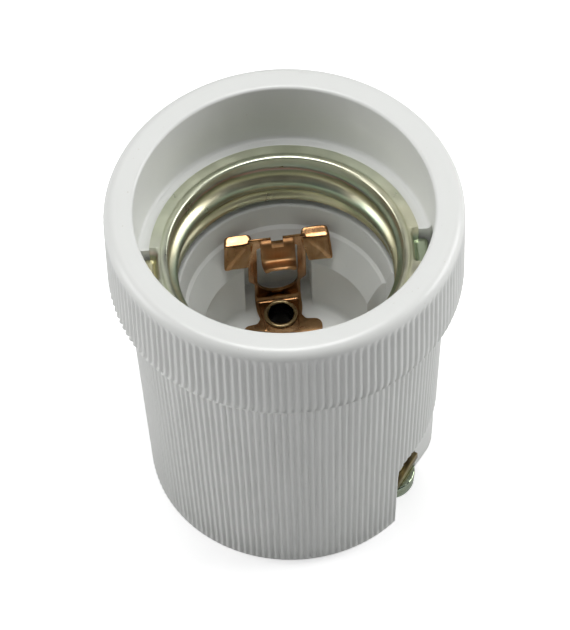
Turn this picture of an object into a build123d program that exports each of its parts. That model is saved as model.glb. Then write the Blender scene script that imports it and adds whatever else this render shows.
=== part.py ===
from build123d import *
import os
from math import cos, pi, radians, sin

# Porcelain E27 lampholder, in millimetres. +Z is the socket axis, the lamp goes in from above,
# the base stands on z = 0, and the contact strip rises on the +Y side of the well.

# Porcelain body
height = 48.0
base_radius = 16.83
base_round = 0.8
body_top_radius = 18.36
collar_radius = 20.37
collar_height = 11.7
collar_lip = 0.5
rim_outer_round = 2.1
rim_inner_round = 1.2
bore_radius = 17.0
ledge_z = 38.7
sleeve_bore_radius = 14.3
sleeve_bore_z = 31.6
seat_top_radius = 12.4
seat_mid_radius = 11.9
seat_mid_z = 28.6
seat_low_radius = 11.5
seat_step = 0.4
well_radius = 9.8
well_lip_z = 24.3
floor_z = 16.3
floor_thickness = 4.0
chamber_radius = 14.2

# Slots in the ledge which take the shell's staked lugs
slot_turn = -3.0
slot_width = 4.6
slot_reach = 17.3
slot_depth = 4.5

# Side notches, one at each terminal screw
terminal_turn = -36.2
notch_half_width = 4.0
notch_height = 12.0
notch_corner = 1.8
notch_inner = 11.0
bevel_inner = 14.7
bevel_turn = 69.0
bevel_length = 8.0

# Channel for the contact's riser, and round-ended recess for the shell's strap and eyelet
channel_half_width = 4.0
channel_reach = 12.5
channel_top_z = 26.0
recess_radius = 2.3
strap_rivet_turn = -1.0
strap_leg_turn = -24.0

# E27 screw shell
shell_wall = 0.3
thread_pitch = 3.629
thread_minor_radius = 12.35
thread_major_radius = 13.3
thread_top_drop = 0.9
shell_end_z = 32.4
mouth_radius = 13.55
mouth_crest = 0.35
mouth_wall = 0.36
flange_radius = 15.6
lug_width = 3.6
lug_drop = 2.6
lug_radius = 16.4
lug_overlap = 0.4

# Contact strip
strip = 0.4
base_half_width = 2.75
riser_foot_y = 10.0
riser_top_y = 8.9
contact_top_z = 30.0
band_half_width = 3.45
band_start_z = 19.8
window_half_width = 2.4
window_low_z = 18.2
foot_half_span = 4.75
foot_y = 5.3
foot_depth = 2.4
foot_scoop = 1.8
ear_inner_x = 2.9
ear_outer_x = 6.4
ear_back_y = 10.2
ear_top_y = 8.85
ear_low_y = 7.8
ear_low_z = 26.1
tongue_half_width = 2.05
tongue_root = (8.5, 29.85)
tongue_dip = (7.4, 27.6)
tongue_tip = (5.5, 28.7)
top_notch_half_width = 0.7
top_notch_z = 28.9

# Eyelets, terminal plates, screws and clamp washers
rivet_outer = 1.9
rivet_inner = 1.5
rivet_rim = 2.2
rivet_low_rim = 2.4
rivet_rim_height = 0.4
rivet_play = 0.1
rivet_y = 7.4
strap_rivet_radius = 10.4
strap_foot_radius = 2.2
strap_half_width = 1.15
strap_leg_radius = 12.15
strap_end_radius = 10.2
strap_top_radius = 14.02
strap_top_z = 37.5
seat_play = 0.05
plate_thickness = 1.0
plate_play = 0.05
chamber_play = 0.1
plate_width = 5.0
foot_width = 6.0
terminal_radius = 13.2
plate_leg_radius = 8.6
plate_end_radius = 15.5
terminal_plate_z = 3.9
screw_radius = 1.75
screw_play = 0.07
screw_head_radius = 3.0
screw_head_z = 1.6
screw_head_height = 1.45
screw_top_z = 9.0
driver_slot = (0.8, 0.7)
driver_slot_turn = 65.0
washer_radius = 3.1
washer_hole = 1.9
washer_height = 0.8

ceiling_z = floor_z - floor_thickness
flange_top_z = ledge_z + shell_wall


def radial_point(radius, turn):
    return Vector(radius * cos(radians(turn)), radius * sin(radians(turn)))


centre_rivet_place = Vector(0, rivet_y)
strap_rivet_place = radial_point(strap_rivet_radius, strap_rivet_turn)
strap_leg_place = radial_point(strap_end_radius, strap_leg_turn)


def rod(radius, z0, z1, x=0.0, y=0.0):
    return Pos(x, y, (z0 + z1) / 2) * Cylinder(radius, z1 - z0)


def tube(outer, inner, z0, z1, x=0.0, y=0.0):
    return rod(outer, z0, z1, x, y) - rod(inner, z0 - 1, z1 + 1, x, y)


def block(x0, x1, y0, y1, z0, z1):
    return Pos((x0 + x1) / 2, (y0 + y1) / 2, (z0 + z1) / 2) * Box(x1 - x0, y1 - y0, z1 - z0)


def radial_block(turn, r0, r1, half_width, z0, z1):
    return Rot(0, 0, turn) * block(r0, r1, -half_width, half_width, z0, z1)


def round_ended(start, end, radius, z0, z1):
    """Upright solid whose plan is every point within a radius of the line from start to end."""
    run = end - start
    middle = (start + end) / 2
    turn = Vector(1, 0, 0).get_signed_angle(run, Vector(0, 0, 1))
    plan = SlotCenterToCenter(run.length, 2 * radius)
    return Pos(middle.X, middle.Y, z0) * Rot(0, 0, turn) * extrude(plan, amount=z1 - z0)


def bent_strip(points, x0, x1, thickness=strip):
    """Sheet strip whose outer side follows (y, z) points, its thickness to the left of travel."""
    path = [Vector(0, y, z) for y, z in points]
    inner = []
    for i, here in enumerate(path):
        before = (here - path[i - 1]).normalized() if i else (path[1] - here).normalized()
        after = (path[i + 1] - here).normalized() if i + 1 < len(path) else before
        left_a = Vector(0, -before.Z, before.Y)
        left_b = Vector(0, -after.Z, after.Y)
        inner.append(here + (left_a + left_b) * (thickness / (1 + left_a.dot(left_b))))
    outline = Polyline(*path, *reversed(inner), close=True)
    return Pos(x0, 0, 0) * extrude(make_face(outline), amount=x1 - x0, dir=(1, 0, 0))


def body_blank():
    """Turned outline of the porcelain: outside, rim, bore, stepped seat and well."""
    collar_z = height - collar_height
    base = (base_radius - base_round, 0)
    base_side = (base_radius, base_round)
    rim_out = (collar_radius, height - rim_outer_round)
    rim_top = (collar_radius - rim_outer_round, height)
    rim_flat = (bore_radius + rim_inner_round, height)
    rim_in = (bore_radius, height - rim_inner_round)
    outer = [
        Line((0, 0), base),
        RadiusArc(base, base_side, -base_round),
        Polyline(base_side, (body_top_radius, collar_z - collar_lip),
                 (collar_radius - collar_lip, collar_z), (collar_radius, collar_z + collar_lip), rim_out),
        RadiusArc(rim_out, rim_top, -rim_outer_round),
    ]
    inner = [
        Line(rim_top, rim_flat),
        RadiusArc(rim_flat, rim_in, -rim_inner_round),
        Polyline(
            rim_in, (bore_radius, ledge_z), (sleeve_bore_radius, ledge_z), (sleeve_bore_radius, sleeve_bore_z),
            (seat_top_radius, sleeve_bore_z), (seat_mid_radius, seat_mid_z),
            (seat_low_radius, seat_mid_z - seat_step), (well_radius, well_lip_z),
            (well_radius, floor_z), (0, floor_z), (0, 0),
        ),
    ]
    outline = Plane.XZ * make_face(outer + inner)
    return revolve(outline, Axis.Z)


def side_notch(turn):
    """Notch open at the base, with one rounded upper corner and one bevelled side."""
    reach = collar_radius + 5
    opening = radial_block(turn, notch_inner, reach, notch_half_width, -1, notch_height)
    corner = Pos(notch_inner, -notch_half_width, notch_height) * Box(
        2 * reach, 2 * notch_corner, 2 * notch_corner, align=(Align.MIN, Align.CENTER, Align.CENTER))
    corner -= Pos(notch_inner, notch_corner - notch_half_width, notch_height - notch_corner) * (
        Rot(0, 90, 0) * Cylinder(notch_corner, 6 * reach))
    opening -= Rot(0, 0, turn) * corner
    bevel = Rot(0, 0, turn) * Pos(bevel_inner, notch_half_width, 0) * Rot(0, 0, bevel_turn) * block(
        0, bevel_length, -bevel_length, 0, -1, notch_height)
    return opening + bevel


def porcelain_body():
    body = body_blank()
    body -= rod(chamber_radius, -1, ceiling_z)
    body -= block(-channel_half_width, channel_half_width, 0, channel_reach, floor_z, channel_top_z)
    body -= round_ended(strap_rivet_place, strap_leg_place, recess_radius, floor_z, sleeve_bore_z)
    for place in (centre_rivet_place, strap_rivet_place):
        body -= rod(rivet_outer + rivet_play, ceiling_z - 1, floor_z + 1, place.X, place.Y)
    for turn in (slot_turn, slot_turn + 180):
        body -= radial_block(turn, sleeve_bore_radius - 1, slot_reach, slot_width / 2,
                             ledge_z - slot_depth, ledge_z)
    for turn in (terminal_turn, terminal_turn + 180):
        body -= side_notch(turn)
    return body


def thread_shell():
    """Pressed shell: flange, mouth bead and thread waves, with two lugs staked into the ledge."""
    thread_top_z = ledge_z - thread_top_drop
    waves = int((thread_top_z + shell_wall - shell_end_z) / (thread_pitch / 2))
    inside = [(flange_radius, flange_top_z), (mouth_radius + mouth_crest, flange_top_z)]
    inside.append((mouth_radius, flange_top_z + mouth_crest))
    inside.append((mouth_radius - mouth_crest, flange_top_z))
    for k in range(waves + 1):
        radius = thread_minor_radius if k % 2 == 0 else thread_major_radius
        inside.append((radius, thread_top_z - k * thread_pitch / 2))
    inside.append((0.5 * (thread_minor_radius + thread_major_radius), shell_end_z))
    end = inside[-1]
    outside = [(end[0] + shell_wall, end[1])]
    for r, z in reversed(inside[4:-1]):
        outside.append((r + shell_wall, z))
    outside.append((mouth_radius - mouth_crest + mouth_wall, ledge_z))
    outside.append((flange_radius, ledge_z))
    shell = revolve(Plane.XZ * make_face(Polyline(*inside, *outside, close=True)), Axis.Z)
    for turn in (slot_turn, slot_turn + 180):
        tab = radial_block(turn, flange_radius - lug_overlap, lug_radius, lug_width / 2, ledge_z, flange_top_z)
        drop = radial_block(turn, lug_radius - shell_wall, lug_radius, lug_width / 2,
                            ledge_z - lug_drop, ledge_z)
        shell += tab + drop
    return shell


def contact_base():
    """Floor plate of the contact, with two rounded feet spread in front of its eyelet."""
    top = floor_z + strip
    plate = block(-base_half_width, base_half_width, foot_y, riser_foot_y, floor_z, top)
    plate += block(-foot_half_span + foot_depth / 2, foot_half_span - foot_depth / 2,
                   foot_y - foot_depth / 2, foot_y + foot_depth / 2, floor_z, top)
    for side in (-1, 1):
        plate += rod(foot_depth / 2, floor_z, top, side * (foot_half_span - foot_depth / 2), foot_y)
    plate -= rod(foot_scoop, floor_z - 1, top + 1, 0, foot_y - foot_depth)
    return plate - rod(rivet_outer, floor_z - 1, top + 1, 0, rivet_y)


def riser_y(z):
    return riser_foot_y + (riser_top_y - riser_foot_y) * (z - floor_z) / (contact_top_z - floor_z)


def contact_riser():
    """Upright strip: narrow at its fold, wider above, with a round-ended window and a top notch."""
    foot_z = floor_z + strip / 4
    low = [(riser_y(foot_z) + strip, foot_z), (riser_y(band_start_z) + strip, band_start_z)]
    high = [low[1], (riser_top_y + strip, contact_top_z)]
    riser = bent_strip(low, -base_half_width, base_half_width)
    riser += bent_strip(high, -band_half_width, band_half_width)
    window = block(-window_half_width, window_half_width, 8, 12,
                   window_low_z + window_half_width, contact_top_z - 2 * strip)
    window += Pos(0, 10, window_low_z + window_half_width) * (Rot(90, 0, 0) * Cylinder(window_half_width, 4))
    return riser - window - top_notch()


def top_notch():
    """Square notch through the top of the strip and the root of its tongue."""
    return block(-top_notch_half_width, top_notch_half_width, 0, 20, top_notch_z, contact_top_z + 1)


def contact_ear(side):
    """Wing beside the riser, leaning forward, with its top edge folded back."""
    ear = [(ear_back_y, contact_top_z), (ear_top_y, contact_top_z), (ear_low_y, ear_low_z)]
    x0, x1 = sorted((side * ear_inner_x, side * ear_outer_x))
    return bent_strip(ear, x0, x1)


def centre_contact():
    joined = contact_base() + block(-base_half_width, base_half_width, riser_foot_y - strip,
                                    riser_foot_y + strip, floor_z, floor_z + strip)
    return joined + contact_riser() + contact_ear(-1) + contact_ear(1)


def contact_tongue():
    """Sprung tongue, which dips from its root and rises to its tip over the well."""
    tongue = bent_strip([tongue_root, tongue_dip, tongue_tip], -tongue_half_width, tongue_half_width)
    return tongue - top_notch()


def hollow_rivet(x, y):
    """Eyelet through the porcelain floor, its rims on the strip above and the plate below."""
    low = ceiling_z - plate_play - plate_thickness
    high = floor_z + strip
    rivet = tube(rivet_outer, rivet_inner, low - rivet_rim_height, high + rivet_rim_height, x, y)
    rivet += tube(rivet_rim, rivet_inner, high, high + rivet_rim_height, x, y)
    return rivet + tube(rivet_low_rim, rivet_inner, low - rivet_rim_height, low, x, y)


def terminal_plate(turn, rivet):
    """Stepped plate: riveted pad under the floor, a leg down, and a tapped foot at the notch."""
    high = ceiling_z - plate_play
    low = high - plate_thickness
    half = foot_width / 2
    leg = radial_block(turn, plate_leg_radius, plate_leg_radius + plate_thickness, half, terminal_plate_z, high)
    foot = radial_block(turn, plate_leg_radius, plate_end_radius, half,
                        terminal_plate_z, terminal_plate_z + plate_thickness)
    middle = radial_point(plate_leg_radius + plate_thickness / 2, turn)
    run = middle - rivet
    bar_turn = Vector(1, 0, 0).get_signed_angle(run, Vector(0, 0, 1))
    bar = Pos(rivet.X, rivet.Y, 0) * Rot(0, 0, bar_turn) * block(0, run.length, -plate_width / 2,
                                                                plate_width / 2, low, high)
    plate = leg + foot + bar + rod(plate_width / 2, low, high, rivet.X, rivet.Y)
    plate -= rod(rivet_outer, low - 1, high + 1, rivet.X, rivet.Y)
    plate &= rod(chamber_radius - chamber_play, 0, ceiling_z) + foot
    screw = radial_point(terminal_radius, turn)
    return plate - rod(screw_radius + screw_play, 0, screw_top_z, screw.X, screw.Y)


def terminal_screw(turn):
    """Cheese-head screw, head down, with a driver slot."""
    place = radial_point(terminal_radius, turn)
    head_top = screw_head_z + screw_head_height
    screw = rod(screw_head_radius, screw_head_z, head_top) + rod(screw_radius, head_top, screw_top_z)
    width, depth = driver_slot
    screw -= block(-5, 5, -width / 2, width / 2, screw_head_z - 1, screw_head_z + depth)
    return Pos(place.X, place.Y, 0) * Rot(0, 0, turn + driver_slot_turn) * screw


def clamp_washer(turn):
    place = radial_point(terminal_radius, turn)
    low = screw_head_z + screw_head_height
    return tube(washer_radius, washer_hole, low, low + washer_height - plate_play, place.X, place.Y)


def shell_strap():
    """Strip from the shell's outer side, over the seat and down to its eyelet on the recess floor."""
    half = strap_half_width
    step_z = sleeve_bore_z + seat_play
    inner = strap_leg_radius - strip
    leg = block(inner, strap_leg_radius, -half, half, floor_z, step_z + strip)
    leg += block(inner, strap_top_radius, -half, half, step_z, step_z + strip)
    leg += block(strap_top_radius - strip, strap_top_radius, -half, half, step_z, strap_top_z)
    foot = round_ended(strap_rivet_place, strap_leg_place, strap_foot_radius, floor_z, floor_z + strip)
    foot -= rod(rivet_outer, floor_z - 1, floor_z + 1, strap_rivet_place.X, strap_rivet_place.Y)
    return foot + Rot(0, 0, strap_leg_turn) * leg


nodes = {
    "porcelain_body": porcelain_body(),
    "thread_shell": thread_shell(),
    "centre_contact": centre_contact(),
    "contact_tongue": contact_tongue(),
    "centre_rivet": hollow_rivet(centre_rivet_place.X, centre_rivet_place.Y),
    "shell_rivet": hollow_rivet(strap_rivet_place.X, strap_rivet_place.Y),
    "shell_strap": shell_strap(),
    "centre_terminal_plate": terminal_plate(terminal_turn + 180, centre_rivet_place),
    "shell_terminal_plate": terminal_plate(terminal_turn, strap_rivet_place),
    "centre_terminal_screw": terminal_screw(terminal_turn + 180),
    "shell_terminal_screw": terminal_screw(terminal_turn),
    "centre_clamp_washer": clamp_washer(terminal_turn + 180),
    "shell_clamp_washer": clamp_washer(terminal_turn),
}
os.makedirs("parts", exist_ok=True)
for name, shape in nodes.items():
    export_step(shape, f"parts/{name}.step")
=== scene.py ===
from math import acos, atan2, cos, degrees, hypot, pi, radians, sin, sqrt, tan

import bmesh
import bpy
from mathutils import Matrix, Vector, noise


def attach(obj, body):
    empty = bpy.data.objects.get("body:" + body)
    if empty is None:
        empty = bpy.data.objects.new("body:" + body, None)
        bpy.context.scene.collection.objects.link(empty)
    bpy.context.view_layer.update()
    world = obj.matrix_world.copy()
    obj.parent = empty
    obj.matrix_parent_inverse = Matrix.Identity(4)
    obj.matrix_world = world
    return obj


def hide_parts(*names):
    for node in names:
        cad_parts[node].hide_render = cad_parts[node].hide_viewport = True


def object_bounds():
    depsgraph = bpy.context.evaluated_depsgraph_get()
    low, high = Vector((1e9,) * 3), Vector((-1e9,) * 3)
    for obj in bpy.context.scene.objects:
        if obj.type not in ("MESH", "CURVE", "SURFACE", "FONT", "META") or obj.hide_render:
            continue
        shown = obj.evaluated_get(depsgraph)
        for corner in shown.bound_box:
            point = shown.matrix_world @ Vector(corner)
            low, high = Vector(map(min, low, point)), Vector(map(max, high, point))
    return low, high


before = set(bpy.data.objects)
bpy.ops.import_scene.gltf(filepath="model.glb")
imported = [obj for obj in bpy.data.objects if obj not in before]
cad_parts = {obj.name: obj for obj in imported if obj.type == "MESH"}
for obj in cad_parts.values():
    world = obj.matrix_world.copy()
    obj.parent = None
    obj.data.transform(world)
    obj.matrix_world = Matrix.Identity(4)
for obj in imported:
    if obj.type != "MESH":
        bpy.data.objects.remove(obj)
cad_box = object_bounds()

# Lengths below are millimetres, as in the CAD model, and MM turns them into Blender's metres.
MM = 0.001
HEIGHT = (cad_box[1].z - cad_box[0].z) / MM
COLLAR_RADIUS = (cad_box[1].x - cad_box[0].x) / MM / 2


# ---------------------------------------------------------------- small geometry helpers

def smooth(low, high, value):
    """Smooth step from 0 at low to 1 at high."""
    t = min(1.0, max(0.0, (value - low) / (high - low)))
    return t * t * (3 - 2 * t)


def turned(x, y, degrees_round):
    """The point (x, y) turned about the socket's axis."""
    a = radians(degrees_round)
    return x * cos(a) - y * sin(a), x * sin(a) + y * cos(a)


def rounded_path(corners, closed=False, steps=5):
    """Points along a polyline whose corners (a, b, radius) are replaced by arcs."""
    path = []
    count = len(corners)
    for i, (a, b, radius) in enumerate(corners):
        here = Vector((a, b))
        if radius <= 0 or (not closed and i in (0, count - 1)):
            path.append((a, b))
            continue
        back = Vector(corners[i - 1][:2]) - here
        ahead = Vector(corners[(i + 1) % count][:2]) - here
        back_length, ahead_length = back.length, ahead.length
        back.normalize()
        ahead.normalize()
        turn = pi - acos(max(-1.0, min(1.0, back.dot(ahead))))
        reach = min(radius * tan(turn / 2), 0.49 * back_length, 0.49 * ahead_length)
        arc_radius = reach / tan(turn / 2)
        middle = (back + ahead).normalized()
        centre = here + middle * (arc_radius / cos(turn / 2))
        start = here + back * reach - centre
        stop = here + ahead * reach - centre
        side = 1 if start.x * stop.y - start.y * stop.x > 0 else -1
        for k in range(steps + 1):
            angle = side * turn * k / steps
            path.append((centre.x + start.x * cos(angle) - start.y * sin(angle),
                         centre.y + start.x * sin(angle) + start.y * cos(angle)))
    return path


def dense_path(path, spacing, closed=False):
    """The same path with points no further apart than spacing."""
    result = []
    last = len(path) if closed else len(path) - 1
    for i in range(last):
        (a0, b0), (a1, b1) = path[i], path[(i + 1) % len(path)]
        parts = max(1, int(hypot(a1 - a0, b1 - b0) / spacing + 0.999))
        for k in range(parts):
            t = k / parts
            result.append((a0 + (a1 - a0) * t, b0 + (b1 - b0) * t))
    if not closed:
        result.append(path[-1])
    return result


def mesh_object(name, points, faces):
    """New object from points in millimetres, smooth shaded."""
    mesh = bpy.data.meshes.new(name)
    mesh.from_pydata([(x * MM, y * MM, z * MM) for x, y, z in points], [], faces)
    mesh.validate()
    work = bmesh.new()
    work.from_mesh(mesh)
    bmesh.ops.remove_doubles(work, verts=work.verts, dist=1e-7)
    bmesh.ops.recalc_face_normals(work, faces=work.faces)
    work.to_mesh(mesh)
    work.free()
    piece = bpy.data.objects.new(name, mesh)
    bpy.context.collection.objects.link(piece)
    mesh.polygons.foreach_set("use_smooth", [True] * len(mesh.polygons))
    return piece


def grid_faces(rows, columns, wrap_rows=False, wrap_columns=False, start=0):
    """Quads between the points of a grid, whose first point has the number start."""
    faces = []
    for i in range(rows if wrap_rows else rows - 1):
        for j in range(columns if wrap_columns else columns - 1):
            a, b = i * columns + j, i * columns + (j + 1) % columns
            c, d = ((i + 1) % rows) * columns + (j + 1) % columns, ((i + 1) % rows) * columns + j
            faces.append((start + a, start + b, start + c, start + d))
    return faces


def revolved(name, path, segments, centre=(0, 0), closed=False, place=None):
    """Surface of revolution of (radius, z) points; place may move each point."""
    points = []
    for radius, z in path:
        for k in range(segments):
            angle = 2 * pi * k / segments
            r, h = place(radius, z, angle) if place else (radius, z)
            points.append((centre[0] + r * cos(angle), centre[1] + r * sin(angle), h))
    return mesh_object(name, points, grid_faces(len(path), segments, closed, True))


def apply_modifiers(piece):
    """Bakes a piece's modifiers into its mesh."""
    view = bpy.context.evaluated_depsgraph_get()
    view.update()
    mesh = bpy.data.meshes.new_from_object(piece.evaluated_get(view))
    piece.modifiers.clear()
    old = piece.data
    piece.data = mesh
    bpy.data.meshes.remove(old)


def cut(piece, *cutters):
    """Cuts each cutter out of a piece and removes it."""
    for cutter in cutters:
        step = piece.modifiers.new("cut", "BOOLEAN")
        step.operation = "DIFFERENCE"
        step.solver = "EXACT"
        step.object = cutter
    apply_modifiers(piece)
    for cutter in cutters:
        bpy.data.objects.remove(cutter)


def soften_edges(piece, width, angle=35, segments=3, sharp=None):
    """Bevels the piece's sharp edges, by angle or where sharp(edge) says so."""
    bevel = piece.modifiers.new("soft edges", "BEVEL")
    bevel.width = width * MM
    bevel.segments = segments
    bevel.use_clamp_overlap = True
    bevel.harden_normals = False
    if sharp is None:
        bevel.limit_method = "ANGLE"
        bevel.angle_limit = radians(angle)
    else:
        bevel.limit_method = "WEIGHT"
        work = bmesh.new()
        work.from_mesh(piece.data)
        layers = work.edges.layers.float
        layer = layers.get("bevel_weight_edge") or layers.new("bevel_weight_edge")
        for edge in work.edges:
            edge[layer] = 1.0 if sharp(edge) else 0.0
        work.to_mesh(piece.data)
        work.free()
    apply_modifiers(piece)


def shade(piece, angle=40):
    """Smooth shading, with edges sharper than angle left crisp."""
    mesh = piece.data
    mesh.polygons.foreach_set("use_smooth", [True] * len(mesh.polygons))
    mesh.set_sharp_from_angle(angle=radians(angle))


def prism(name, outline, z0, z1, turn=0.0):
    """Closed prism over an (x, y) outline."""
    count = len(outline)
    points = []
    for z in (z0, z1):
        for x, y in outline:
            px, py = turned(x, y, turn)
            points.append((px, py, z))
    faces = [tuple(range(count)), tuple(range(2 * count - 1, count - 1, -1))]
    faces += [(i, (i + 1) % count, count + (i + 1) % count, count + i) for i in range(count)]
    return mesh_object(name, points, faces)


def finish_piece(piece, body, material, slot, *nodes):
    """Gives a piece its material, puts it under its body and hides the CAD nodes it belongs to; slot is not used."""
    piece.data.materials.clear()
    piece.data.materials.append(material)
    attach(piece, body)
    if nodes:
        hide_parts(*nodes)
    return piece


# ---------------------------------------------------------------- heights and sheets used throughout

FLOOR_Z = 16.3
CEILING_Z = 12.3
LEDGE_Z = 38.7
STRIP = 0.4
EYELET_RIM_Z = FLOOR_Z + STRIP + 0.35
PITCH = 3.629


# ---------------------------------------------------------------- materials

class Nodes:
    """Short hand for building one node material."""

    def __init__(self, name):
        self.material = bpy.data.materials.new(name)
        self.material.use_nodes = True
        self.tree = self.material.node_tree
        self.shader = self.tree.nodes["Principled BSDF"]
        self.place = self.add("ShaderNodeTexCoord").outputs["Object"]

    def add(self, kind, **values):
        node = self.tree.nodes.new(kind)
        for key, value in values.items():
            setattr(node, key, value)
        return node

    def link(self, source, target):
        self.tree.links.new(source, target)

    def set(self, **values):
        for key, value in values.items():
            self.shader.inputs[key.replace("_", " ")].default_value = value

    def scaled(self, x, y, z):
        mapping = self.add("ShaderNodeMapping")
        mapping.inputs["Scale"].default_value = (x, y, z)
        self.link(self.place, mapping.inputs["Vector"])
        return mapping.outputs["Vector"]

    def noise(self, scale, detail=3.0, distortion=0.0, vector=None):
        texture = self.add("ShaderNodeTexNoise")
        texture.inputs["Scale"].default_value = scale
        texture.inputs["Detail"].default_value = detail
        texture.inputs["Distortion"].default_value = distortion
        self.link(vector or self.place, texture.inputs["Vector"])
        return texture.outputs["Fac"]

    def ramp(self, source, *stops):
        ramp = self.add("ShaderNodeValToRGB")
        points = ramp.color_ramp.elements
        while len(points) < len(stops):
            points.new(0.5)
        for point, (position, colour) in zip(points, stops):
            point.position = position
            point.color = (*colour, 1.0)
        self.link(source, ramp.inputs["Fac"])
        return ramp.outputs["Color"]

    def span(self, source, low, high, from_low=0.3, from_high=0.7):
        node = self.add("ShaderNodeMapRange")
        node.inputs["From Min"].default_value = from_low
        node.inputs["From Max"].default_value = from_high
        node.inputs["To Min"].default_value = low
        node.inputs["To Max"].default_value = high
        self.link(source, node.inputs["Value"])
        return node.outputs["Result"]

    def math(self, operation, *values):
        node = self.add("ShaderNodeMath", operation=operation)
        for socket, value in zip(node.inputs, values):
            if isinstance(value, bpy.types.NodeSocket):
                self.link(value, socket)
            else:
                socket.default_value = value
        return node.outputs["Value"]

    def mix(self, factor, first, second, mode="MIX"):
        node = self.add("ShaderNodeMix", data_type="RGBA", blend_type=mode)
        for socket, value in ((node.inputs[0], factor), (node.inputs[6], first), (node.inputs[7], second)):
            if isinstance(value, bpy.types.NodeSocket):
                self.link(value, socket)
            else:
                socket.default_value = value if isinstance(value, float) else (*value, 1.0)
        return node.outputs[2]

    def bump(self, source, strength, distance):
        node = self.add("ShaderNodeBump")
        node.inputs["Strength"].default_value = strength
        node.inputs["Distance"].default_value = distance
        self.link(source, node.inputs["Height"])
        self.link(node.outputs["Normal"], self.shader.inputs["Normal"])

    def feed(self, socket, source):
        self.link(source, self.shader.inputs[socket])


def porcelain_material():
    """Glazed porcelain: warm white, faint clouding, rare iron specks, thin glaze orange peel."""
    m = Nodes("glazed_porcelain")
    cloud = m.noise(60.0, 3.0)
    body = m.ramp(cloud, (0.3, (0.750, 0.760, 0.738)), (0.7, (0.768, 0.778, 0.757)))
    speck = m.noise(2600.0, 1.0)
    spot = m.ramp(speck, (0.77, (1.0, 1.0, 1.0)), (0.80, (0.80, 0.76, 0.70)))
    m.feed("Base Color", m.mix(0.6, body, spot, "MULTIPLY"))
    m.feed("Roughness", m.span(m.noise(160.0, 3.0), 0.30, 0.38))
    m.set(IOR=1.5, Coat_Weight=0.2, Coat_Roughness=0.2, Specular_IOR_Level=0.4)
    m.bump(m.noise(520.0, 2.0), 0.05, 0.0003)
    return m.material


def chromate_material(name, pitch, roughness, crown_z=None):
    """Zinc plate under yellow chromate: its film shifts colour in soft bands that follow a helix.

    From a little below crown_z upward, an even pale cream is painted over the film: a painted highlight on the
    shell's rolled mouth.
    """
    m = Nodes(name)
    split = m.add("ShaderNodeSeparateXYZ")
    m.link(m.place, split.inputs["Vector"])
    angle = m.math("ARCTAN2", split.outputs["Y"], split.outputs["X"])
    climb = m.math("DIVIDE", split.outputs["Z"], pitch * MM)
    turns = m.math("SUBTRACT", climb, m.math("DIVIDE", angle, 2 * pi))
    drift = m.span(m.noise(75.0, 2.0, 0.6), -0.14, 0.14)
    phase = m.math("FRACT", m.math("ADD", turns, drift))
    olive, cream, rose = (0.30, 0.33, 0.21), (0.72, 0.68, 0.48), (0.55, 0.38, 0.37)
    green, slate = (0.44, 0.53, 0.41), (0.42, 0.45, 0.47)
    moss, straw, highlight_cream = (0.40, 0.45, 0.32), (0.52, 0.50, 0.32), (0.74, 0.74, 0.58)
    film = m.ramp(phase, (0.0, olive), (0.10, rose), (0.20, slate), (0.32, green), (0.46, moss), (0.60, green),
                  (0.76, cream), (0.90, straw), (1.0, olive))
    # Painted highlight: the rolled mouth above crown_z is painted pale cream for the light it catches.
    if crown_z is not None:
        crown_highlight = m.span(split.outputs["Z"], 0.0, 0.65, (crown_z - 0.8) * MM, (crown_z + 0.2) * MM)
        film = m.mix(crown_highlight, film, highlight_cream)
    grain = m.ramp(m.noise(900.0, 3.0), (0.3, (0.8, 0.8, 0.78)), (0.7, (1.0, 1.0, 0.98)))
    m.feed("Base Color", m.mix(0.25, film, grain, "MULTIPLY"))
    m.feed("Roughness", m.span(m.noise(380.0, 3.0), roughness - 0.04, roughness + 0.06))
    m.set(Metallic=1.0)
    m.bump(m.noise(1400.0, 2.0), 0.06, 0.0001)
    return m.material


def bronze_material(name, shine):
    """Rolled phosphor bronze: polished, with toned brown areas and fine drawing lines."""
    m = Nodes(name)
    tone = m.noise(260.0, 3.0, 0.8)
    base = m.ramp(tone, (0.30, (0.24, 0.125, 0.055)), (0.50, (0.40, 0.22, 0.10)), (0.72, (0.58, 0.36, 0.19)))
    lines = m.noise(700.0, 2.0, 0.0, m.scaled(6.0, 0.6, 0.6))
    drawn = m.ramp(lines, (0.3, (0.7, 0.66, 0.6)), (0.7, (1.0, 1.0, 1.0)))
    m.feed("Base Color", m.mix(0.3, base, drawn, "MULTIPLY"))
    m.feed("Roughness", m.span(m.noise(420.0, 3.0), shine, shine + 0.12))
    m.set(Metallic=1.0)
    m.bump(lines, 0.08, 0.0001)
    return m.material


def brass_material(name, dark, light, roughness, hollow_z=None):
    """Brass; an eyelet's is painted nearly black below its rim, at hollow_z, as painted shade in its hole."""
    m = Nodes(name)
    colour = m.ramp(m.noise(300.0, 3.0, 0.5), (0.3, dark), (0.7, light))
    if hollow_z is not None:
        split = m.add("ShaderNodeSeparateXYZ")
        m.link(m.place, split.inputs["Vector"])
        # Painted shade: below the rim the eyelet is painted nearly black, for its dark hole.
        hole_shade = m.span(split.outputs["Z"], 0.97, 0.0, (hollow_z - 0.35) * MM, (hollow_z - 0.1) * MM)
        colour = m.mix(hole_shade, colour, (0.012, 0.012, 0.010))
    m.feed("Base Color", colour)
    m.feed("Roughness", m.span(m.noise(600.0, 3.0), roughness, roughness + 0.12))
    m.set(Metallic=1.0)
    m.bump(m.noise(1500.0, 2.0), 0.08, 0.0001)
    return m.material


def floor_material():
    """Matt white, brighter to the camera than to the object, so that the ground adds little bounce light."""
    m = Nodes("studio_floor")
    m.feed("Base Color", m.ramp(m.noise(8.0, 2.0), (0.3, (0.72, 0.72, 0.72)), (0.7, (0.74, 0.74, 0.74))))
    seen = m.add("ShaderNodeLightPath").outputs["Is Camera Ray"]
    m.set(Roughness=0.9, Emission_Color=(1.0, 1.0, 1.0, 1.0))
    m.feed("Emission Strength", m.span(seen, 0.05, 0.62, 0.0, 1.0))
    return m.material


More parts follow.
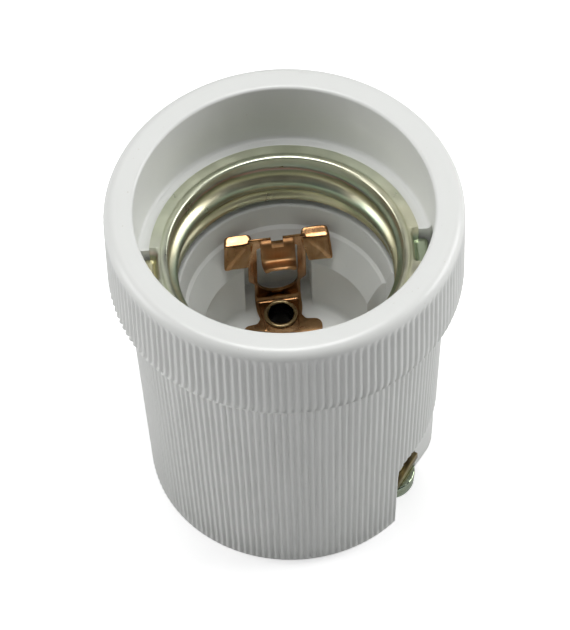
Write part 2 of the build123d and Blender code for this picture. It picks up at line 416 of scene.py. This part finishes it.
porcelain = porcelain_material()
chromate = chromate_material("yellow_chromate_steel", PITCH, 0.31, LEDGE_Z)
screw_chromate = chromate_material("yellow_chromate_screw", 9.0, 0.24)
bronze = bronze_material("toned_bronze", 0.16)
dull_bronze = bronze_material("dull_bronze", 0.42)
eyelet_brass = brass_material("eyelet_brass", (0.30, 0.22, 0.11), (0.44, 0.33, 0.18), 0.20, EYELET_RIM_Z)
# Painted shade: the terminal plates get a darkened brass, for the shade they lie in inside the notches.
shaded_plate_brass = brass_material("shaded_plate_brass", (0.15, 0.12, 0.06), (0.24, 0.19, 0.10), 0.30)


# ---------------------------------------------------------------- porcelain body

RIBS = 142
RIB_STEPS = 8
RIB_DEPTH = 0.24
BASE_RADIUS = 16.83
STANDING_RING = 1.6
BODY_TOP_RADIUS = 18.36
COLLAR_Z = HEIGHT - 11.7
RIM_WIDTH = 2.6
BORE_RADIUS = 17.0
SLEEVE_BORE, SLEEVE_BORE_Z = 14.3, 31.6
WELL_RADIUS, WELL_LIP_Z = 9.8, 24.3
CHAMBER_RADIUS = 14.2
CENTRE_GAP = 0.6
TERMINAL_TURN = -36.2
NOTCH_WIDTH, NOTCH_HEIGHT, NOTCH_LIP = 4.0, 12.0, 0.45
NOTCH_DEPTH, BEVEL_DEPTH, BEVEL_SLOPE, BEVEL_LIMIT = 11.0, 14.7, 2.6, 5.0
SLOT_TURN = -3.0
SLOT_HALF, SLOT_REACH, SLOT_DROP = 2.3, 17.3, 4.5
CHANNEL_HALF, CHANNEL_REACH, CHANNEL_TOP = 4.0, 12.5, 26.0
RECESS_RADIUS, RECESS_TOP = 2.3, 32.5
RIVET_Y = 7.4
RIVET_HOLE = 2.0
STRAP_RIVET = turned(10.4, 0, -1.0)
STRAP_LEG = turned(10.2, 0, -24.0)


def body_radius(z):
    """Radius of the tapered body across its ribs."""
    return BASE_RADIUS + (BODY_TOP_RADIUS - BASE_RADIUS) * max(0.0, z) / COLLAR_Z


def rib_weight(radius, z):
    """How far the ribs stand at a point of the outline, from 0 to 1."""
    if z > COLLAR_Z - 0.3 and radius > BODY_TOP_RADIUS + 0.3:
        return smooth(46.9, 45.9, z) * (0.35 + 0.65 * smooth(BODY_TOP_RADIUS + 0.5, COLLAR_RADIUS - 0.5, radius))
    return smooth(0.3, 1.1, z) * (0.35 + 0.65 * smooth(COLLAR_Z, COLLAR_Z - 0.7, z))


def rib_wave(angle, z):
    """Depth of the groove at an angle, from 0 on a ridge to 1 in a groove, a little uneven."""
    number = angle * RIBS / (2 * pi) + smooth(COLLAR_Z + 0.9, COLLAR_Z - 0.1, z)
    which = int(number + 0.5) % RIBS
    sway = 0.10 * noise.noise(Vector((which * 0.37, z * 0.05, 3.0)))
    depth = 1.0 + 0.25 * noise.noise(Vector((which * 0.61, z * 0.09, 9.0)))
    wave = 0.5 - 0.5 * cos(2 * pi * (number + sway * 0.5))
    return depth * wave ** 1.25


def outer_path():
    """Outside of the porcelain, from its standing ring to the rim."""
    corners = [
        (BASE_RADIUS - STANDING_RING, 0.0, 0), (BASE_RADIUS, 0.0, 0.9), (BODY_TOP_RADIUS, COLLAR_Z, 0.35),
        (COLLAR_RADIUS, COLLAR_Z + 0.1, 0.55), (COLLAR_RADIUS, HEIGHT, 2.4), (COLLAR_RADIUS - RIM_WIDTH, HEIGHT, 0),
    ]
    return dense_path(rounded_path(corners, steps=7), 0.9)


def inner_path():
    """Inside of the porcelain, from the rim down the bore, the seat and the well to its floor."""
    corners = [
        (COLLAR_RADIUS - RIM_WIDTH, HEIGHT, 0), (BORE_RADIUS, HEIGHT, 1.3), (BORE_RADIUS, LEDGE_Z, 0.5),
        (SLEEVE_BORE, LEDGE_Z, 0.35), (SLEEVE_BORE, SLEEVE_BORE_Z, 0.3), (12.4, SLEEVE_BORE_Z, 0.35),
        (11.9, 28.6, 0.25), (11.5, 28.2, 0.3), (WELL_RADIUS, WELL_LIP_Z, 0.35), (WELL_RADIUS, FLOOR_Z, 0.7),
        (CENTRE_GAP, FLOOR_Z, 0),
    ]
    return dense_path(rounded_path(corners, steps=5), 2.0)


def under_path():
    """Wiring chamber, from its ceiling to the standing ring."""
    corners = [(CENTRE_GAP, CEILING_Z, 0), (CHAMBER_RADIUS, CEILING_Z, 0.6), (CHAMBER_RADIUS, 0.0, 0.45),
               (BASE_RADIUS - STANDING_RING, 0.0, 0)]
    return dense_path(rounded_path(corners, steps=4), 2.5)


def porcelain_blank():
    """Closed skin: finely divided outside with ribs, coarser inside, joined ring to ring."""
    fine = RIBS * RIB_STEPS
    points, faces = [], []
    for radius, z in outer_path():
        weight = rib_weight(radius, z)
        for k in range(fine):
            angle = 2 * pi * k / fine
            r = radius - (RIB_DEPTH * weight * rib_wave(angle, z) if weight > 0 else 0.0)
            points.append((r * cos(angle), r * sin(angle), z))
    rows = len(points) // fine
    faces += grid_faces(rows, fine, wrap_columns=True)
    for path, seam in ((inner_path()[1:], (rows - 1) * fine), (list(reversed(under_path()[:-1])), 0)):
        start = len(points)
        for radius, z in path:
            points += [(radius * cos(2 * pi * k / RIBS), radius * sin(2 * pi * k / RIBS), z) for k in range(RIBS)]
        faces += grid_faces(len(path), RIBS, wrap_columns=True, start=start)
        for k in range(RIBS):
            nearer = [seam + (k * RIB_STEPS + j) % fine for j in range(RIB_STEPS + 1)]
            faces.append((start + (k + 1) % RIBS, start + k, *nearer))
        end = start + (len(path) - 1) * RIBS
        faces.append(tuple(end + k for k in range(RIBS)))
    return mesh_object("porcelain_body_glazed", points, faces)


def notch_cutter(turn):
    """Notch with a rounded lip, whose outline grows by the lip's round near the outer skin, and a bevelled side."""
    half, top, lip = NOTCH_WIDTH, NOTCH_HEIGHT, NOTCH_LIP
    stations = [(None, NOTCH_DEPTH, 0.0), (None, BEVEL_DEPTH - 0.1, 0.0)]
    for k in range(6):
        depth = lip * (1 - k / 5)
        stations.append((-depth, None, lip - sqrt(max(0.0, lip * lip - (lip - depth) ** 2))))
    stations.append((2.5, None, lip))
    rings = []
    for offset, flat, grow in stations:
        outline = rounded_path([
            (-half - grow, -2.0, 0), (-half - grow, top + grow, 1.8 + grow),
            (half + grow, top + grow, 0.8 + grow), (half + grow, -2.0, 0)], steps=6)
        ring = []
        for v, z in dense_path(outline, 1.0, closed=True):
            u = flat
            side = max(0.0, v) / (half + grow)
            reach = None if offset is None else body_radius(z) - 0.02 + offset
            for _ in range(12):
                if flat is None:
                    u = sqrt(max(1.0, reach ** 2 - v * v))
                bevel = max(0.0, u - BEVEL_DEPTH) * BEVEL_SLOPE
                v_here = v + (side ** 6) * min(bevel, BEVEL_LIMIT) if side > 0 else v
                if flat is None:
                    u = sqrt(max(1.0, reach ** 2 - min(v_here, 11.0) ** 2))
            x, y = turned(u, v_here, turn)
            ring.append((x, y, z))
        rings.append(ring)
    count = len(rings[0])
    points = [p for ring in rings for p in ring]
    faces = grid_faces(len(rings), count, wrap_columns=True)
    faces.append(tuple(range(count)))
    faces.append(tuple(len(points) - 1 - i for i in range(count)))
    return mesh_object("notch_cutter", points, faces)


def box_outline(x0, x1, y0, y1, radius):
    """Rectangle with rounded corners."""
    return rounded_path([(x0, y0, radius), (x1, y0, radius), (x1, y1, radius), (x0, y1, radius)], closed=True)


def round_ended(start, end, radius, steps=16):
    """Outline of every point within a radius of the line from start to end."""
    along = atan2(end[1] - start[1], end[0] - start[0])
    outline = []
    for centre, first in ((end, -pi / 2), (start, pi / 2)):
        for k in range(steps + 1):
            a = along + first + pi * k / steps
            outline.append((centre[0] + radius * cos(a), centre[1] + radius * sin(a)))
    return outline


def disc_outline(x, y, radius):
    return [(x + radius * cos(pi * k / 24), y + radius * sin(pi * k / 24)) for k in range(48)]


def porcelain_body():
    """Glazed moulding with its notches, channel, strap recess, lug slots and rivet holes."""
    body = porcelain_blank()
    cutters = [notch_cutter(TERMINAL_TURN), notch_cutter(TERMINAL_TURN + 180)]
    channel = box_outline(-CHANNEL_HALF, CHANNEL_HALF, 5.0, CHANNEL_REACH, 0.5)
    cutters.append(prism("channel_cutter", channel, FLOOR_Z + 0.001, CHANNEL_TOP))
    recess = round_ended(STRAP_RIVET, STRAP_LEG, RECESS_RADIUS)
    cutters.append(prism("recess_cutter", recess, FLOOR_Z + 0.002, RECESS_TOP))
    slot = box_outline(SLEEVE_BORE - 1.0, SLOT_REACH, -SLOT_HALF, SLOT_HALF, 0.5)
    for turn in (SLOT_TURN, SLOT_TURN + 180):
        cutters.append(prism("slot_cutter", slot, LEDGE_Z - SLOT_DROP, LEDGE_Z + 0.9, turn))
    for x, y in ((0, RIVET_Y), STRAP_RIVET):
        cutters.append(prism("rivet_hole", disc_outline(x, y, RIVET_HOLE), CEILING_Z - 1.3, FLOOR_Z + 1.2))
    cut(body, *cutters)

    def inside_corner(edge):
        if len(edge.link_faces) != 2 or edge.calc_face_angle(0.0) < radians(50):
            return False
        middle = (edge.verts[0].co + edge.verts[1].co) / (2 * MM)
        return hypot(middle.x, middle.y) < BORE_RADIUS + 0.4 and middle.z > CEILING_Z + 0.5

    soften_edges(body, 0.22, segments=2, sharp=inside_corner)
    shade(body, 48)
    return finish_piece(body, "holder", porcelain, "porcelain", "porcelain_body")


# ---------------------------------------------------------------- screw shell

SHELL_WALL = 0.3
SHELL_END = 32.4
SHELL_TOP = LEDGE_Z + SHELL_WALL
MINOR, MAJOR = 12.35, 13.3
FLANGE_START, FLANGE_RADIUS = 14.5, 15.6
STAKE_DEPTH = 1.5
LUG_RADIUS = 16.38
SLEEVE_STEPS, SHELL_SEGMENTS = 46, 240


def shell_skin(angle, z, outward):
    """Radius of the shell's inner or outer skin: a right-hand helix that fades at both ends."""
    phase = 2 * pi * (z / PITCH) - angle
    middle, swing = (MINOR + MAJOR) / 2, (MAJOR - MINOR) / 2
    fade = smooth(SHELL_END + 0.1, SHELL_END + 1.2, z) * smooth(LEDGE_Z - 0.2, LEDGE_Z - 1.6, z)
    wave = 1.12 * cos(phase) - 0.12 * cos(3 * phase)
    mouth = smooth(LEDGE_Z - 1.9, LEDGE_Z - 0.3, z) * 0.55
    end = -0.12 * (1 - smooth(SHELL_END, SHELL_END + 1.0, z))
    return middle + swing * wave * fade + mouth + end + (SHELL_WALL if outward else 0.0)


def staking(angle):
    """How deep the flange is driven down at an angle, from 0 to 1 at the middle of a stake."""
    depth = 0.0
    for turn in (SLOT_TURN, SLOT_TURN + 180):
        away = (degrees(angle) - turn + 180) % 360 - 180
        depth = max(depth, 1 - smooth(5.5, 9.0, abs(away)))
    return depth


def shell_outline(outward):
    """One skin of the shell from its low end: (None, z) up the thread, then (radius, z) over mouth and flange."""
    low, high = SHELL_END, LEDGE_Z - 0.35
    outline = [(None, low + (high - low) * k / SLEEVE_STEPS) for k in range(SLEEVE_STEPS + 1)]
    if outward:
        flange_z = LEDGE_Z + 0.005
        crest = [(13.4 + SHELL_WALL, LEDGE_Z - 0.3, 0), (13.72, SHELL_TOP + 0.02, 0.12), (14.0, SHELL_TOP, 0.12),
                 (14.2, flange_z, 0.2), (FLANGE_RADIUS, flange_z, 0)]
    else:
        flange_z = SHELL_TOP
        crest = [(13.4, LEDGE_Z - 0.3, 0), (13.45, SHELL_TOP + 0.34, 0.33), (14.15, SHELL_TOP + 0.30, 0.35),
                 (14.35, SHELL_TOP, 0.35), (FLANGE_RADIUS, SHELL_TOP, 0)]
    crest = rounded_path(crest, steps=5)
    flange = [(FLANGE_START + (FLANGE_RADIUS - FLANGE_START) * j / 6, flange_z) for j in range(1, 6)]
    return outline + crest[1:-1] + flange + crest[-1:]


def thread_shell():
    """Pressed screw shell whose flange is driven down into the two lug slots."""
    inner, outer = shell_outline(False), shell_outline(True)
    loop = [(False, *row) for row in reversed(inner)] + [(True, *row) for row in outer]
    points = []
    for outward, radius, height in loop:
        for k in range(SHELL_SEGMENTS):
            angle = 2 * pi * k / SHELL_SEGMENTS
            z = height
            if radius is None:
                r = shell_skin(angle, z, outward)
            else:
                r = radius
                stake = staking(angle)
                outer_part = smooth(14.4, 15.1, r)
                ripple = 0.05 * noise.noise(Vector((cos(angle) * 2.2, sin(angle) * 2.2, r * 0.5)))
                z += 0 if outward else ripple * smooth(14.2, 15.0, r)
                z -= stake * outer_part * STAKE_DEPTH
                r -= stake * smooth(15.0, FLANGE_RADIUS, r) * 0.15
            points.append((r * cos(angle), r * sin(angle), z))
    shell = mesh_object("thread_shell_chromated", points, grid_faces(len(loop), SHELL_SEGMENTS, True, True))
    lug_line = [(15.0, LEDGE_Z - 1.2), (16.3, LEDGE_Z - 1.3), (LUG_RADIUS, LEDGE_Z - 2.7)]
    for turn in (SLOT_TURN, SLOT_TURN + 180):
        lug = bent_sheet("shell_lug", lug_line, lambda s, total: 1.8 - 0.35 * smooth(total - 1.0, total, s),
                         SHELL_WALL, 0.35)
        place_radially(lug, turn)
        join(shell, lug)
    shade(shell, 42)
    return finish_piece(shell, "holder", chromate, "chromated_steel", "thread_shell")


# ---------------------------------------------------------------- bent sheet metal

def bent_sheet(name, centre_line, half_width, thickness, bend, across=8, offset=None, relief=None, spacing=0.16):
    """Strip bent along (y, z) points, centred on x = 0, with rounded sheet edges.

    half_width(s, total) gives half the strip's width at the length s; offset(s, total) shifts it along x;
    relief(t, s, total) lifts the sheet at t, from -1 to 1 across its width.
    """
    path = dense_path(rounded_path([(y, z, bend) for y, z in centre_line], steps=6), spacing)
    lengths = [0.0]
    for (a0, b0), (a1, b1) in zip(path, path[1:]):
        lengths.append(lengths[-1] + hypot(a1 - a0, b1 - b0))
    total = lengths[-1]
    half = thickness / 2
    round_steps = 4
    stations = [-1 + 2 * k / across for k in range(across + 1)]
    points = []
    for i, (y, z) in enumerate(path):
        y0, z0 = path[max(0, i - 1)]
        y1, z1 = path[min(len(path) - 1, i + 1)]
        size = hypot(y1 - y0, z1 - z0)
        ny, nz = -(z1 - z0) / size, (y1 - y0) / size
        end = min(lengths[i], total - lengths[i])
        thin = half * sqrt(max(0.02, 1 - max(0.0, 1 - end / half) ** 2)) if end < half else half
        width = half_width(lengths[i], total)
        shift = offset(lengths[i], total) if offset else 0.0
        ring = [(t * (width - half), thin) for t in stations]
        for k in range(1, round_steps):
            a = pi / 2 - pi * k / round_steps
            ring.append(((width - half) + half * cos(a), thin * sin(a)))
        ring += [(t * (width - half), -thin) for t in reversed(stations)]
        for k in range(1, round_steps):
            a = -pi / 2 - pi * k / round_steps
            ring.append((-(width - half) + half * cos(a), thin * sin(a)))
        for x, n in ring:
            lift = n + (relief(max(-1.0, min(1.0, x / width)), lengths[i], total) if relief else 0.0)
            points.append((shift + x, y + ny * lift, z + nz * lift))
    count = len(points) // len(path)
    faces = grid_faces(len(path), count, wrap_columns=True)
    faces.append(tuple(range(count)))
    faces.append(tuple(len(points) - 1 - i for i in range(count)))
    return mesh_object(name, points, faces)


def place_radially(piece, turn):
    """Turns a strip drawn in the (y, z) plane so that its y runs outward at the given turn."""
    piece.data.transform(Matrix.Rotation(radians(turn - 90), 4, "Z"))


def join(piece, *others):
    """Unites closed meshes into one skin."""
    for other in others:
        step = piece.modifiers.new("join", "BOOLEAN")
        step.operation = "UNION"
        step.solver = "EXACT"
        step.object = other
    apply_modifiers(piece)
    for other in others:
        bpy.data.objects.remove(other)


# ---------------------------------------------------------------- contact strip

RISER_FOOT_Y, RISER_TOP_Y, CONTACT_TOP = 10.0, 8.9, 30.0
WINDOW_HALF, WINDOW_LOW, WINDOW_HIGH = 2.4, 18.2, 28.2
TONGUE_HALF = 2.05
EAR_X = 4.52
NOTCH_HALF, NOTCH_Z, TONGUE_NOTCH_Z = 0.7, 28.9, 29.4


def rounded_end(half, radius, away):
    """Half width of a strip whose corners are rounded, at a distance from its end."""
    if away >= radius:
        return half
    return half - radius + sqrt(max(0.0, radius * radius - (radius - away) ** 2))


def ear_width(s, total):
    """The ear is widest at its fold and has a round on each corner."""
    half = 1.58 + 0.10 * smooth(0.3, 1.2, s) - 0.22 * smooth(1.4, total, s)
    return min(rounded_end(half, 0.55, s), rounded_end(half, 0.35, total - s))


def ear_relief(side):
    """A crease that runs down the ear's face from its inner corner."""
    def relief(t, s, total):
        along = (s - 1.0) / (total - 1.0)
        return -0.16 * smooth(-0.25, 0.35, side * t + 0.7 - 1.5 * along) * smooth(0.9, 1.6, s)
    return relief


def centre_contact():
    """Strip that lies on the well's floor and rises behind the eyelet, with two folded ears and a window."""
    half = STRIP / 2
    floor_mid = FLOOR_Z + half
    spine = [(5.2, floor_mid), (RISER_FOOT_Y + half, floor_mid), (RISER_TOP_Y + half, CONTACT_TOP - 0.05)]

    def spine_width(s, total):
        waist = 0.35 * (1 - smooth(1.2, 3.6, s))
        return rounded_end(2.75 - waist + 0.7 * smooth(7.9, 9.0, s), 0.3, total - s)

    contact = bent_sheet("centre_contact_strip", spine, spine_width, STRIP, 0.9, across=14)
    feet = prism("contact_feet", feet_outline(), FLOOR_Z + 0.01, FLOOR_Z + STRIP - 0.01)
    soften_edges(feet, 0.12, angle=50)
    ears = []
    for side in (-1, 1):
        tilt = -0.06 * side
        line = [(10.15, 29.78 - tilt), (8.95, 29.34 + tilt), (8.13, 26.8), (7.92, 26.2)]
        ears.append(bent_sheet("ear", line, ear_width, STRIP, 0.42, across=12, relief=ear_relief(side),
                               offset=lambda s, total, side=side: side * (EAR_X + 0.42 * smooth(1.0, total, s))))
    join(contact, feet, *ears)
    window = rounded_path([(-WINDOW_HALF, WINDOW_LOW, 2.35), (WINDOW_HALF, WINDOW_LOW, 2.35),
                           (WINDOW_HALF, WINDOW_HIGH, 0.4), (-WINDOW_HALF, WINDOW_HIGH, 0.4)], closed=True, steps=10)
    opening = prism("window_cutter", window, -12.5, -8.6)
    opening.data.transform(Matrix.Rotation(radians(90), 4, "X"))
    notch = prism("top_notch", box_outline(-NOTCH_HALF, NOTCH_HALF, 6.0, 12.0, 0.1), NOTCH_Z, 31.0)
    hole = prism("eyelet_hole", disc_outline(0, RIVET_Y, 1.9), 15.0, 18.0)
    cut(contact, opening, notch, hole)
    shade(contact, 40)
    return finish_piece(contact, "holder", bronze, "bronze", "centre_contact")


def feet_outline():
    """Plan of the two rounded feet, spread either side of the eyelet."""
    corners = []
    for side in (1, -1):
        arm = [(side * 1.5, 4.05, 0.7), (side * 2.6, 4.15, 0.8), (side * 4.7, 4.3, 0.9), (side * 4.7, 6.3, 0.9),
               (side * 2.9, 6.5, 0.5), (side * 2.2, 7.6, 0.3)]
        corners += arm if side == 1 else list(reversed(arm))
    return rounded_path(corners, closed=True, steps=5)


def contact_tongue():
    """Tongue that bends over the strip's top, dips, and rises to its tip, a little dished across."""
    line = [(8.95, 29.8), (8.35, 29.72), (7.38, 27.5), (5.5, 28.5)]

    def width(s, total):
        return rounded_end(TONGUE_HALF - 0.15 * smooth(total - 2.5, total, s), 0.45, total - s)

    tongue = bent_sheet("contact_tongue_strip", line, width, STRIP * 0.95, 0.6, across=16,
                        relief=lambda t, s, total: 0.28 * t ** 4 * smooth(1.0, 1.8, s))
    tongue_notch = prism("tongue_notch", box_outline(-NOTCH_HALF, NOTCH_HALF, 7.0, 12.0, 0.12), TONGUE_NOTCH_Z, 31.0)
    cut(tongue, tongue_notch)
    shade(tongue, 40)
    return finish_piece(tongue, "tongue", dull_bronze, "bronze", "contact_tongue")


# ---------------------------------------------------------------- eyelets, strap, plates

def eyelet(name, centre, node):
    """Hollow rivet with a rolled rim above and a flared rim below."""
    low, high = CEILING_Z - 1.45, FLOOR_Z + STRIP
    path = rounded_path([
        (1.5, low + 0.05, 0.15), (2.35, low + 0.02, 0.18), (2.35, low + 0.38, 0.15), (1.88, low + 0.4, 0.1),
        (1.88, high - 0.02, 0.1), (2.0, high, 0.18), (2.0, high + 0.36, 0.18), (1.5, high + 0.38, 0.25)],
        closed=True, steps=5)
    piece = revolved(name, path, 72, centre, closed=True)
    shade(piece, 60)
    return finish_piece(piece, "holder", eyelet_brass, "brass_eyelet", node)


def rounded_copy(node, name, body, material, slot, width):
    """A copy of a stamped CAD part with its edges broken."""
    piece = bpy.data.objects.new(name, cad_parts[node].data.copy())
    bpy.context.collection.objects.link(piece)
    piece.matrix_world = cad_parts[node].matrix_world
    work = bmesh.new()
    work.from_mesh(piece.data)
    bmesh.ops.remove_doubles(work, verts=work.verts, dist=1e-6)
    bmesh.ops.dissolve_limit(work, angle_limit=radians(1.5), verts=work.verts, edges=work.edges)
    work.to_mesh(piece.data)
    work.free()
    soften_edges(piece, width, angle=40, segments=2)
    shade(piece, 40)
    return finish_piece(piece, body, material, slot, node)


# ---------------------------------------------------------------- screws and washers

TERMINAL_RADIUS = 13.2
HEAD_Z, HEAD_TOP, SCREW_TOP = 1.6, 3.05, 9.0
HEAD_RADIUS, SHANK_RADIUS, SCREW_PITCH = 2.98, 1.7, 0.7
DRIVER_TURN = 65
WASHER_BORE, WASHER_RADIUS, WASHER_HEIGHT, TOOTH_HEIGHT = 1.92, 3.08, 0.75, 0.04


def screw_thread(angle, z):
    """Shank radius of a right-hand thread, run out at its tip."""
    phase = 2 * pi * z / SCREW_PITCH - angle
    depth = 0.14 * smooth(SCREW_TOP, SCREW_TOP - 0.9, z)
    tip = 0.35 * smooth(SCREW_TOP - 0.45, SCREW_TOP, z)
    return 1.74 - depth * (0.5 - 0.5 * cos(phase)) - tip


def terminal_screw(turn, body, node):
    """Terminal screw, head down, with a driver slot under its head."""
    centre = turned(TERMINAL_RADIUS, 0, turn)
    shoulder = HEAD_TOP + 0.05
    head = rounded_path([(0.02, HEAD_Z + 0.08, 0), (2.2, HEAD_Z, 0.6), (HEAD_RADIUS, HEAD_Z + 0.18, 0.3),
                         (HEAD_RADIUS, HEAD_TOP, 0.15), (SHANK_RADIUS, HEAD_TOP, 0.05)], steps=5)
    shank = [(SHANK_RADIUS, shoulder + (SCREW_TOP - HEAD_TOP - 0.05) * k / 90) for k in range(91)]
    path = head[:-1] + shank + [(0.02, SCREW_TOP)]

    def place(radius, z, angle):
        on_thread = radius == SHANK_RADIUS and z > HEAD_TOP + 0.04
        return (screw_thread(angle, z) if on_thread else radius), z

    screw = revolved(node + "_turned", path, 64, centre, place=place)
    close_ends(screw)
    x0, y0 = centre
    outline = []
    for x, y in box_outline(-4, 4, -0.4, 0.4, 0.02):
        px, py = turned(x, y, turn + DRIVER_TURN)
        outline.append((px + x0, py + y0))
    cut(screw, prism("driver_slot", outline, 0.5, HEAD_Z + 0.75))
    shade(screw, 35)
    return finish_piece(screw, body, screw_chromate, "chromated_steel", node)


def close_ends(piece):
    """Fills the holes that a revolved surface has at its axis."""
    work = bmesh.new()
    work.from_mesh(piece.data)
    bmesh.ops.holes_fill(work, edges=[e for e in work.edges if e.is_boundary])
    bmesh.ops.recalc_face_normals(work, faces=work.faces)
    work.to_mesh(piece.data)
    work.free()


def clamp_washer(turn, body, node):
    """Round washer with fine radial teeth on its upper face."""
    centre = turned(TERMINAL_RADIUS, 0, turn)
    low, high = HEAD_TOP, HEAD_TOP + WASHER_HEIGHT
    path = rounded_path([(WASHER_BORE, low, 0.1), (WASHER_RADIUS, low, 0.2), (WASHER_RADIUS, high, 0.2),
                         (WASHER_BORE, high, 0.1)], closed=True, steps=4)

    def place(radius, z, angle):
        if z <= (low + high) / 2:
            return radius, z
        teeth = TOOTH_HEIGHT * (0.5 + 0.5 * cos(24 * angle)) * smooth(2.0, 3.0, radius)
        return radius, z + teeth - TOOTH_HEIGHT

    piece = revolved(node + "_pressed", path, 120, centre, closed=True, place=place)
    shade(piece, 50)
    return finish_piece(piece, body, screw_chromate, "chromated_steel", node)


# ---------------------------------------------------------------- camera, floor and lights

VIEW_TURN = -6.2
VIEW_DISTANCE = 550.0
VIEW_HEIGHT = radians(54.9)
VIEW_ROLL = radians(-1.99)
VIEW_TARGET = (-0.3, 0.0, HEIGHT - 20.98)
LENS = 271.37143
SENSOR = 36.0
FLOOR_HALF = 3000


def make_camera():
    """Long lens from above and in front, aimed at VIEW_TARGET and rolled a little."""
    data = bpy.data.cameras.new("camera")
    data.sensor_width = SENSOR
    data.lens = LENS
    data.clip_start, data.clip_end = 0.01, 10.0
    camera = bpy.data.objects.new("camera", data)
    bpy.context.collection.objects.link(camera)
    turn = Matrix.Rotation(radians(VIEW_TURN), 3, "Z")
    eye = Vector((0, -VIEW_DISTANCE * cos(VIEW_HEIGHT), VIEW_TARGET[2] + VIEW_DISTANCE * sin(VIEW_HEIGHT)))
    ahead = (Vector(VIEW_TARGET) - eye).normalized()
    right = ahead.cross(Vector((0, 0, 1))).normalized()
    up = right.cross(ahead)
    c, s = cos(VIEW_ROLL), sin(VIEW_ROLL)
    right, up = c * right + s * up, c * up - s * right
    axes = Matrix((turn @ right, turn @ up, turn @ -ahead)).transposed().to_4x4()
    camera.matrix_world = Matrix.Translation(turn @ eye * MM) @ axes
    bpy.context.scene.camera = camera


def softbox(name, place, size, power):
    """Square area light, in metres and watts, aimed at the middle of the object."""
    data = bpy.data.lights.new(name, "AREA")
    data.shape = "RECTANGLE"
    data.size = data.size_y = size
    data.energy = power
    light = bpy.data.objects.new(name, data)
    bpy.context.collection.objects.link(light)
    light.location = place
    light.rotation_euler = (Vector((0, 0, 0.03)) - Vector(place)).to_track_quat("-Z", "Y").to_euler()


def make_stage():
    """White ground, a dim world, and softboxes above and on both sides."""
    half = FLOOR_HALF
    corners = [(-half, -half, -0.2), (half, -half, -0.2), (half, half, -0.2), (-half, half, -0.2)]
    floor = mesh_object("studio_floor", corners, [(0, 1, 2, 3)])
    floor.data.materials.append(floor_material())
    world = bpy.data.worlds.new("studio_world")
    world.use_nodes = True
    background = world.node_tree.nodes["Background"]
    background.inputs["Color"].default_value = (0.95, 0.96, 1.0, 1.0)
    background.inputs["Strength"].default_value = 0.06
    bpy.context.scene.world = world
    softbox("top_softbox", (0.0, 0.05, 0.60), 0.24, 1.8)
    softbox("left_softbox", (-0.46, 0.04, 0.27), 0.3, 1.3)
    softbox("right_softbox", (0.46, 0.04, 0.27), 0.3, 1.7)
    bpy.context.scene.view_settings.view_transform = "Standard"


# ---------------------------------------------------------------- the build

make_camera()
make_stage()
porcelain_body()
thread_shell()
centre_contact()
contact_tongue()
eyelet("centre_eyelet", (0, RIVET_Y), "centre_rivet")
eyelet("shell_eyelet", STRAP_RIVET, "shell_rivet")
rounded_copy("shell_strap", "shell_strap_bent", "holder", bronze, "bronze", 0.08)
rounded_copy("centre_terminal_plate", "centre_plate_stamped", "holder", shaded_plate_brass, "brass_plate", 0.15)
rounded_copy("shell_terminal_plate", "shell_plate_stamped", "holder", shaded_plate_brass, "brass_plate", 0.15)
for side_name, side_turn in (("centre", TERMINAL_TURN + 180), ("shell", TERMINAL_TURN)):
    terminal_screw(side_turn, side_name + "_screw", side_name + "_terminal_screw")
    clamp_washer(side_turn, side_name + "_clamp", side_name + "_clamp_washer")
